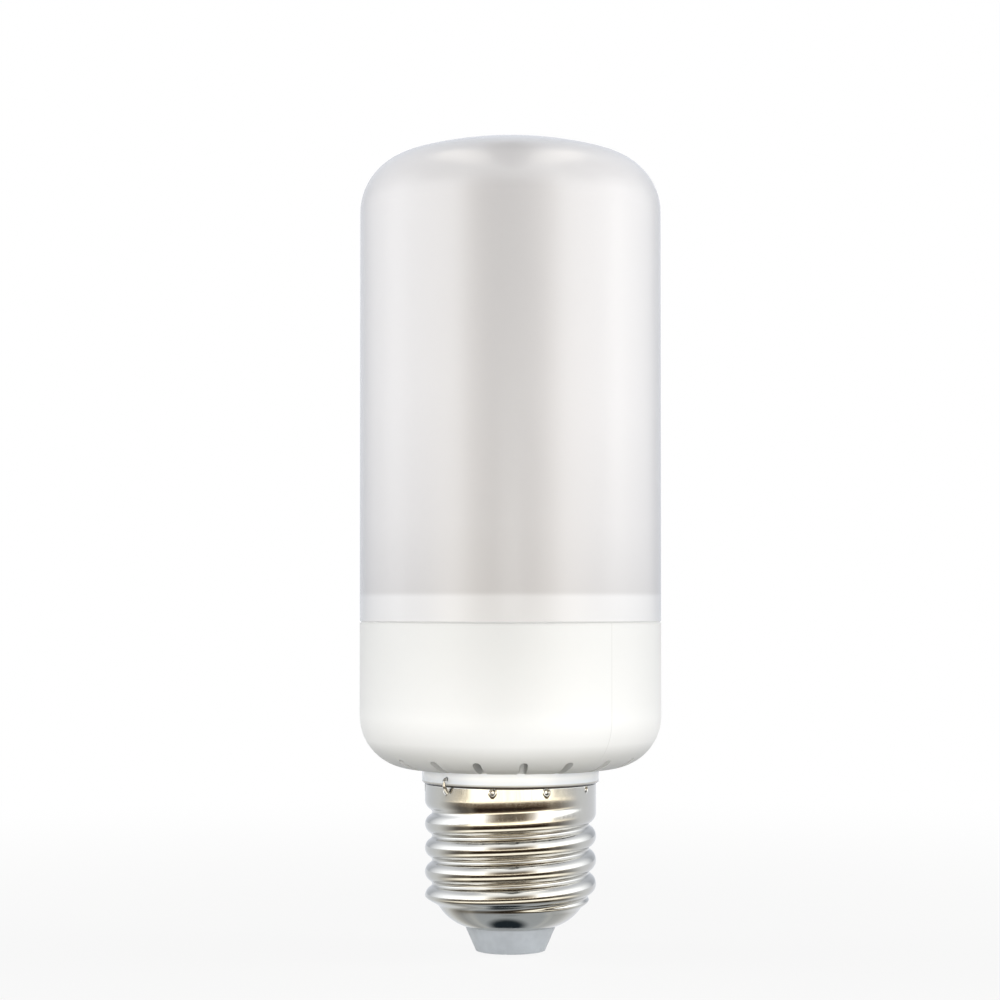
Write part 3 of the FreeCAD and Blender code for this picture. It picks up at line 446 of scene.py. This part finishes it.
    rolled = addNode(tree, maths, {0: swell, 1: share, 2: radius}, operation="MULTIPLY_ADD")

    # Stakes: small round punch marks just under the rim, with a slight lip round each
    beat = addNode(tree, maths, {0: turn, 1: phase}, operation="SUBTRACT")
    beat = addNode(tree, maths, {0: beat, 1: given["Stakes"]}, operation="MULTIPLY")
    nearest = addNode(tree, maths, {0: beat}, operation="ROUND")
    offBeat = addNode(tree, maths, {0: beat, 1: nearest}, operation="SUBTRACT")
    offBeat = addNode(tree, maths, {0: offBeat}, operation="ABSOLUTE")
    step = addNode(tree, maths, {0: 2 * math.pi, 1: given["Stakes"]}, operation="DIVIDE")
    step = addNode(tree, maths, {0: step, 1: rolled}, operation="MULTIPLY")
    arc = addNode(tree, maths, {0: offBeat, 1: step}, operation="MULTIPLY")
    below = addNode(tree, maths, {0: given["Rim"], 1: height}, operation="SUBTRACT")
    below = addNode(tree, maths, {0: below, 1: given["Stake low"]}, operation="SUBTRACT")
    below = addNode(tree, maths, {0: below, 1: given["Stake tall"]}, operation="DIVIDE")
    reachOut = addNode(tree, maths, {0: arc, 1: given["Stake wide"]}, operation="DIVIDE")
    outside = addNode(tree, "ShaderNodeCombineXYZ", {0: reachOut, 1: below})
    outside = addNode(tree, "ShaderNodeVectorMath", {0: outside}, operation="LENGTH").outputs["Value"]
    inside = addNode(tree, maths, {0: 1.0, 1: outside}, operation="SUBTRACT")
    dent = addNode(tree, "ShaderNodeMapRange", {0: inside, 1: 0.0, 2: given["Stake wall"], 3: 0.0, 4: 1.0},
                   interpolation_type="SMOOTHSTEP")
    nearEdge = addNode(tree, maths, {0: inside, 1: given["Lip out"]}, operation="ADD")
    nearEdge = addNode(tree, maths, {0: nearEdge}, operation="ABSOLUTE")
    lip = addNode(tree, "ShaderNodeMapRange", {0: nearEdge, 1: 0.0, 2: given["Lip wide"],
                  3: given["Lip high"], 4: 0.0}, interpolation_type="SMOOTHSTEP")
    press = addNode(tree, maths, {0: lip, 1: dent}, operation="SUBTRACT")
    pressed = addNode(tree, maths, {0: press, 1: given["Stake deep"], 2: rolled}, operation="MULTIPLY_ADD")

    angle = addNode(tree, maths, {0: turn, 1: 2 * math.pi}, operation="MULTIPLY")
    ahead = addNode(tree, maths, {0: angle}, operation="COSINE")
    ahead = addNode(tree, maths, {0: ahead, 1: pressed}, operation="MULTIPLY")
    aside = addNode(tree, maths, {0: angle}, operation="SINE")
    aside = addNode(tree, maths, {0: aside, 1: pressed}, operation="MULTIPLY")
    corner = addNode(tree, "ShaderNodeCombineXYZ", {0: ahead, 1: aside, 2: height})
    metres = addNode(tree, "ShaderNodeVectorMath", {0: corner, "Scale": mm}, operation="SCALE")
    placed = addNode(tree, "GeometryNodeSetPosition", {"Geometry": grid, "Position": metres})
    closed = addNode(tree, "GeometryNodeMergeByDistance", {"Geometry": placed, "Distance": 2e-6})
    smooth = addNode(tree, "GeometryNodeSetShadeSmooth", {"Geometry": closed, "Shade Smooth": True})
    real = addNode(tree, "GeometryNodeRealizeInstances", {"Geometry": smooth})
    painted = addNode(tree, "GeometryNodeSetMaterial", {"Geometry": real, "Material": finish})
    addNode(tree, "NodeGroupOutput", {"Shell": painted})
    return tree


def heightTone(tree, low, high, stops):
    # Colour by height between two levels in millimetres: gives the place and the colour
    place = addNode(tree, "ShaderNodeTexCoord").outputs["Object"]
    split = addNode(tree, "ShaderNodeSeparateXYZ", {0: place})
    level = addNode(tree, "ShaderNodeMapRange", {0: split.outputs["Z"], 1: low * mm, 2: high * mm})
    tone = addNode(tree, "ShaderNodeValToRGB", {0: level})
    setRamp(tone, stops)
    return place, tone


def grownPiece(name, points, tree, inputs):
    # Runs a tree over a row of points and keeps the result as a plain mesh
    seed = bpy.data.meshes.new(name + "Seed")
    seed.from_pydata(points, [(n, n + 1) for n in range(len(points) - 1)], [])
    holder = bpy.data.objects.new(name + "Seed", seed)
    bpy.context.scene.collection.objects.link(holder)
    modifier = holder.modifiers.new("tree", "NODES")
    modifier.node_group = tree
    for item in tree.interface.items_tree:
        if item.in_out == "INPUT" and item.name in inputs:
            modifier[item.identifier] = inputs[item.name]
    bpy.context.view_layer.update()
    evaluated = holder.evaluated_get(bpy.context.evaluated_depsgraph_get())
    mesh = bpy.data.meshes.new_from_object(evaluated)
    bpy.data.objects.remove(holder)
    mesh.name = name
    piece = bpy.data.objects.new(name, mesh)
    bpy.context.scene.collection.objects.link(piece)
    return piece


# Nickel-plated steel, drawn and rolled: a soft-edged mirror with fine upright drawing lines
nickelValues = {
    "colour": "#C8C7C3",
    "roughness": (0.07, 0.17),
    "lines": 4.2,            # to a millimetre
    "drawn": 0.03,           # how far the lines are drawn out upwards: less is longer
    "waves": 0.26,           # to a millimetre, faint unevenness of the sheet
    "waveShare": 0.6,
    "relief": 0.03,
}
look = nickelValues
nickel, tree, shader = newFinish("platedRolledSteel", look["colour"], 0.12, metallic=1.0)
place = addNode(tree, "ShaderNodeTexCoord").outputs["Object"]
stretch = addNode(tree, "ShaderNodeMapping", {"Vector": place, "Scale": (1, 1, look["drawn"])})
lines = addNode(tree, "ShaderNodeTexNoise", {"Vector": stretch, "Scale": 1000.0 * look["lines"],
                "Detail": 3.0})
waves = addNode(tree, "ShaderNodeTexNoise", {"Vector": place, "Scale": 1000.0 * look["waves"], "Detail": 2.0})
rough = addNode(tree, "ShaderNodeMapRange", {0: lines, 1: 0.3, 2: 0.7, 3: look["roughness"][0],
                4: look["roughness"][1]})
tree.links.new(rough.outputs[0], shader.inputs["Roughness"])
both = addNode(tree, "ShaderNodeMath", {0: waves, 1: look["waveShare"], 2: lines}, operation="MULTIPLY_ADD")
bump = addNode(tree, "ShaderNodeBump", {"Strength": 0.05, "Distance": look["relief"] * mm, "Height": both})
tree.links.new(bump.outputs[0], shader.inputs["Normal"])

sizes = shellValues
shell = grownPiece("rolledShell", shellSection(sizes), rolledShellTree(nickel), {
    "Around": sizes["around"], "Pitch": sizes["pitch"], "Entry": sizes["entry"],
    "Depth": sizes["threadDepth"], "Crest bend": sizes["crestBend"], "Fade low": sizes["fadeLow"],
    "Fade high": sizes["fadeHigh"], "Fade rest": sizes["fadeRest"], "Fade end": sizes["fadeEnd"],
    "Rim": sizes["rim"], "Stakes": sizes["stakes"], "Stake turn": sizes["stakeTurn"],
    "Stake low": sizes["stakeLow"], "Stake wide": sizes["stakeWide"], "Stake tall": sizes["stakeTall"],
    "Stake deep": sizes["stakeDeep"], "Stake wall": sizes["stakeWall"], "Lip out": sizes["lipOut"],
    "Lip wide": sizes["lipWide"], "Lip high": sizes["lipHigh"], "Crowding": sizes["crowding"]})
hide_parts("screw_shell")
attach(shell, "root")
print("shell rolled,", len(shell.data.polygons), "faces")

# Opal polycarbonate, injection moulded and milky all through: it scatters light under a soft gloss.
# Its colour by height is painted light and shade: lighter at the foot where the spigot stands behind it,
# painted shade above that where the dark inside would show through, lighter upwards.
opalValues = {
    "foot": 50.0,
    "top": 124.0,
    "paintedLightByHeight": [(0.0, "#D2D1D1"), (0.056, "#D2D1D1"), (0.064, "#BDBBBB"), (0.2, "#C7C5C5"), (0.45, "#CECCCC"),
               (0.88, "#CFCDCD"), (0.93, "#DBD9D9"), (1.0, "#DBD9D9")],
    "cloud": 24.0,           # mm across one faint cloud in the plastic
    "cloudTone": (0.992, 1.008),
    "satin": 2.6,            # grains of its satin surface to a millimetre
    "relief": 0.01,
}
look = opalValues
opal, tree, shader = newFinish("opalPolycarbonate", "#CECCCD", 0.3, IOR=1.58, Coat_Weight=1.0,
                               Coat_Roughness=0.22)
place, paintedLight = heightTone(tree, look["foot"], look["top"], look["paintedLightByHeight"])
cloud = addNode(tree, "ShaderNodeTexNoise", {"Vector": place, "Scale": 1000.0 / look["cloud"], "Detail": 1.0})
milk = addNode(tree, "ShaderNodeMapRange", {0: cloud, 1: 0.3, 2: 0.7, 3: look["cloudTone"][0],
               4: look["cloudTone"][1]})
shade = addNode(tree, "ShaderNodeMix", {"Factor": 1.0, 6: paintedLight, 7: milk}, data_type="RGBA",
                blend_type="MULTIPLY")
tree.links.new(shade.outputs[2], shader.inputs["Base Color"])
satin = addNode(tree, "ShaderNodeTexNoise", {"Vector": place, "Scale": 1000.0 * look["satin"], "Detail": 1.0})
bump = addNode(tree, "ShaderNodeBump", {"Strength": 0.05, "Distance": look["relief"] * mm, "Height": satin})
tree.links.new(bump.outputs[0], shader.inputs["Normal"])
paint("diffuser", opal)

# White polycarbonate moulded in a lightly spark-eroded tool, which leaves a fine satin grain
housingValues = {
    "grain": 0.3,            # mm across one grain
    "relief": 0.02,
    "low": 28.0,
    "high": 50.3,
    "seam": 0.28,            # sets the place of the two faint mould lines
    "seamWide": 0.0016,      # half the width of one, as a share of half a turn
    "seamShare": 0.35,
    "seamTone": "#B9B9B5",
    # painted shade darkens the rounded underside; above it the wall is painted a little lighter low down than
    # at its top
    "tones": [(0.0, "#B3B3AF"), (0.12, "#CDCDCA"), (0.2, "#E7E7E5"), (0.36, "#E8E8E6"), (0.46, "#E4E4E2"),
              (0.66, "#E1E1DF"), (0.86, "#DFDFDD"), (1.0, "#DFDFDD")],
}
look = housingValues
whitePlastic, tree, shader = newFinish("mouldedWhitePlastic", "#E3E3E0", 0.42, IOR=1.55,
                                       Subsurface_Weight=0.1, Subsurface_Scale=1.0,
                                       Subsurface_Radius=(0.002, 0.002, 0.002))
place, tone = heightTone(tree, look["low"], look["high"], look["tones"])
around = azimuthPlace(tree, place)[0]
halves = addNode(tree, "ShaderNodeMath", {0: around, 1: 2.0, 2: look["seam"]}, operation="MULTIPLY_ADD")
halves = addNode(tree, "ShaderNodeMath", {0: halves}, operation="FRACT")
fromSeam = addNode(tree, "ShaderNodeMath", {0: halves, 1: 0.5}, operation="SUBTRACT")
fromSeam = addNode(tree, "ShaderNodeMath", {0: fromSeam}, operation="ABSOLUTE")
seam = addNode(tree, "ShaderNodeMapRange", {0: fromSeam, 1: 0.0, 2: look["seamWide"],
               3: look["seamShare"], 4: 0.0}, interpolation_type="SMOOTHSTEP")
seamed = addNode(tree, "ShaderNodeMix", {"Factor": seam, 6: tone, 7: linearColour(look["seamTone"])},
                 data_type="RGBA")
tree.links.new(seamed.outputs[2], shader.inputs["Base Color"])
grain = addNode(tree, "ShaderNodeTexNoise", {"Vector": place, "Scale": 1000.0 / look["grain"], "Detail": 2.0})
bump = addNode(tree, "ShaderNodeBump", {"Strength": 0.12, "Distance": look["relief"] * mm, "Height": grain})
tree.links.new(bump.outputs[0], shader.inputs["Normal"])
paint("housing", whitePlastic)

# Glossy translucent moulded plastic with a cool tint. Its tones are painted shade: dark at the lower corner
# above the rim, a grey-tan band of painted shade and painted reflection of the metal, a little darker at the
# top under the housing.
collarValues = {
    "low": 25.9,
    "high": 28.2,
    "tones": [(0.0, "#38322B"), (0.06, "#4A443C"), (0.09, "#A9A69E"), (0.15, "#BDBCB8"), (0.2, "#E2E8EE"),
              (0.6, "#F5F8FA"), (1.0, "#DDE2E7")],
    "ripple": 6.0,           # mm across one ripple of its surface
    "relief": 0.05,
}
look = collarValues
collarPlastic, tree, shader = newFinish("glossyCollarPlastic", "#E4EAF0", 0.12, IOR=1.55,
                                        Subsurface_Weight=0.4, Subsurface_Scale=1.0,
                                        Subsurface_Radius=(0.003, 0.0034, 0.004),
                                        Coat_Weight=0.3, Coat_Roughness=0.05)
place, tone = heightTone(tree, look["low"], look["high"], look["tones"])
tree.links.new(tone.outputs[0], shader.inputs["Base Color"])
ripple = addNode(tree, "ShaderNodeTexNoise", {"Vector": place, "Scale": 1000.0 / look["ripple"],
                 "Detail": 1.0})
bump = addNode(tree, "ShaderNodeBump", {"Strength": 0.2, "Distance": look["relief"] * mm, "Height": ripple})
tree.links.new(bump.outputs[0], shader.inputs["Normal"])
paint("cap_collar", collarPlastic)

# Milky thermoplastic pressed into the shell's mouth, matt with a faint mould grain
insulatorValues = {
    "grain": 1.1,            # mm across one grain
    "relief": 0.02,
    "tones": [(0.3, "#B5BABF"), (0.7, "#BCC1C6")],
}
look = insulatorValues
insulatorPlastic, tree, shader = newFinish("milkyInsulatorPlastic", "#C2C8CD", 0.38, IOR=1.5,
                                           Subsurface_Weight=0.3, Subsurface_Scale=1.0,
                                           Subsurface_Radius=(0.002, 0.002, 0.0022))
place = addNode(tree, "ShaderNodeTexCoord").outputs["Object"]
speck = addNode(tree, "ShaderNodeTexNoise", {"Vector": place, "Scale": 1000.0 / look["grain"], "Detail": 2.0})
tone = addNode(tree, "ShaderNodeValToRGB", {0: speck})
setRamp(tone, look["tones"])
tree.links.new(tone.outputs[0], shader.inputs["Base Color"])
bump = addNode(tree, "ShaderNodeBump", {"Strength": 0.1, "Distance": look["relief"] * mm, "Height": speck})
tree.links.new(bump.outputs[0], shader.inputs["Normal"])
paint("cap_insulator", insulatorPlastic)
print("outer pieces painted")

# Finishes of the inner pieces: two tones that mix in a noise of the given size, and its relief.
# grain and relief are in millimetres, streak is how far the noise is drawn out upwards.
innerFinishes = {
    # Turned brass rivet, lightly tarnished
    "turnedBrass": {"tones": ("#B8A272", "#C9B684"), "roughness": 0.28, "metallic": 1.0, "grain": 0.4,
                    "relief": 0.004, "streak": 0.2, "nodes": ["centre_contact"]},
    # Silicone wire covering, softly matt
    "siliconeCovering": {"tones": ("#B3221C", "#C42A22"), "roughness": 0.45, "metallic": 0.0, "grain": 0.5,
                         "relief": 0.01, "streak": 1.0, "nodes": ["live_wire", "link_wires"]},
    # Tinned copper wire, drawn
    "tinnedWire": {"tones": ("#C2C0BB", "#D6D5D1"), "roughness": 0.25, "metallic": 1.0, "grain": 0.12,
                   "relief": 0.006, "streak": 0.2, "nodes": ["neutral_wire"]},
    # Glass-fibre laminate under green lacquer, its cloth faintly raised
    "greenLaminate": {"tones": ("#1C5A2E", "#23683A"), "roughness": 0.35, "metallic": 0.0, "grain": 0.6,
                      "relief": 0.008, "streak": 1.0, "nodes": ["driver_board"]},
    # Transfer-moulded epoxy package, fine matt
    "mouldedEpoxy": {"tones": ("#17181A", "#202124"), "roughness": 0.6, "metallic": 0.0, "grain": 0.15,
                     "relief": 0.01, "streak": 1.0,
                     "nodes": ["bridge_rectifier", "driver_chip", "control_chip"]},
    # Drawn aluminium can in a shrunk-on sleeve
    "sleevedCan": {"tones": ("#24262C", "#2E3038"), "roughness": 0.3, "metallic": 0.0, "grain": 0.8,
                   "relief": 0.01, "streak": 0.15, "nodes": ["input_capacitor", "output_capacitor"]},
    # Sintered ferrite, dull and slightly porous
    "sinteredFerrite": {"tones": ("#2B2826", "#383431"), "roughness": 0.75, "metallic": 0.0, "grain": 0.12,
                        "relief": 0.02, "streak": 1.0, "nodes": ["choke"]},
    # Dipped flameproof coating, a little uneven
    "dippedCoating": {"tones": ("#5F7A66", "#6E8A74"), "roughness": 0.35, "metallic": 0.0, "grain": 1.0,
                      "relief": 0.03, "streak": 1.0, "nodes": ["fuse_resistor"]},
    # Moulded white plastic of the inner frame, satin
    "innerMoulding": {"tones": ("#E6E6E2", "#ECECE9"), "roughness": 0.5, "metallic": 0.0, "grain": 0.4,
                      "relief": 0.01, "streak": 1.0, "nodes": ["deck_plate", "core_tube", "column_cap"]},
    # Zinc-plated screw steel, with fine turned lines
    "zincScrew": {"tones": ("#A9ABAE", "#BFC0C2"), "roughness": 0.3, "metallic": 1.0, "grain": 0.1,
                  "relief": 0.005, "streak": 4.0, "nodes": ["deck_screw_1", "deck_screw_2"]},
    # Thin polyimide laminate under white lacquer
    "whiteLacquer": {"tones": ("#E3E1D8", "#EAE8E0"), "roughness": 0.4, "metallic": 0.0, "grain": 1.2,
                     "relief": 0.006, "streak": 1.0, "nodes": ["flexible_board"]},
}
for name, look in innerFinishes.items():
    finish, tree, shader = newFinish(name, look["tones"][0], look["roughness"], metallic=look["metallic"])
    place = addNode(tree, "ShaderNodeTexCoord").outputs["Object"]
    drawn = addNode(tree, "ShaderNodeMapping", {"Vector": place, "Scale": (1, 1, look["streak"])})
    noise = addNode(tree, "ShaderNodeTexNoise", {"Vector": drawn, "Scale": 1000.0 / look["grain"],
                    "Detail": 2.0})
    tone = addNode(tree, "ShaderNodeValToRGB", {0: noise})
    setRamp(tone, [(0.32, look["tones"][0]), (0.68, look["tones"][1])])
    tree.links.new(tone.outputs[0], shader.inputs["Base Color"])
    bump = addNode(tree, "ShaderNodeBump", {"Strength": 0.3, "Distance": look["relief"] * mm,
                   "Height": noise})
    tree.links.new(bump.outputs[0], shader.inputs["Normal"])
    for node in look["nodes"]:
        paint(node, finish)

# LED packages: white moulded frame round a yellow phosphor window, which is found from the chip's place
# round the column
ledValues = {
    "perRow": 11,
    "radius": 14.3,
    "window": 1.05,          # half the window's width
    "grain": 0.4,            # mm across one grain of the phosphor
    "frame": "#EFEDE6",
    "phosphor": ("#E8B93C", "#F0C750"),
}
look = ledValues
ledPackage, tree, shader = newFinish("ledPackage", look["frame"], 0.35, IOR=1.5)
place = addNode(tree, "ShaderNodeTexCoord").outputs["Object"]
around = azimuthPlace(tree, place)[0]
chip = addNode(tree, "ShaderNodeMath", {0: around, 1: look["perRow"], 2: 0.5 * (look["perRow"] + 1) % 1.0},
               operation="MULTIPLY_ADD")
chip = addNode(tree, "ShaderNodeMath", {0: chip}, operation="FRACT")
offCentre = addNode(tree, "ShaderNodeMath", {0: chip, 1: 0.5}, operation="SUBTRACT")
aside = addNode(tree, "ShaderNodeMath", {0: offCentre, 1: 2 * math.pi * look["radius"] / look["perRow"]},
                operation="MULTIPLY")
aside = addNode(tree, "ShaderNodeMath", {0: aside}, operation="ABSOLUTE")
window = addNode(tree, "ShaderNodeMath", {0: aside, 1: look["window"]}, operation="LESS_THAN")
grain = addNode(tree, "ShaderNodeTexNoise", {"Vector": place, "Scale": 1000.0 / look["grain"]})
phosphor = addNode(tree, "ShaderNodeMix", {"Factor": grain, 6: linearColour(look["phosphor"][0]),
                   7: linearColour(look["phosphor"][1])}, data_type="RGBA")
tone = addNode(tree, "ShaderNodeMix", {"Factor": window, 6: linearColour(look["frame"]),
               7: phosphor.outputs[2]}, data_type="RGBA")
tree.links.new(tone.outputs[2], shader.inputs["Base Color"])
for name in nodes:
    if name.startswith("led_row_"):
        paint(name, ledPackage)
print("inner pieces painted")

print("finished")
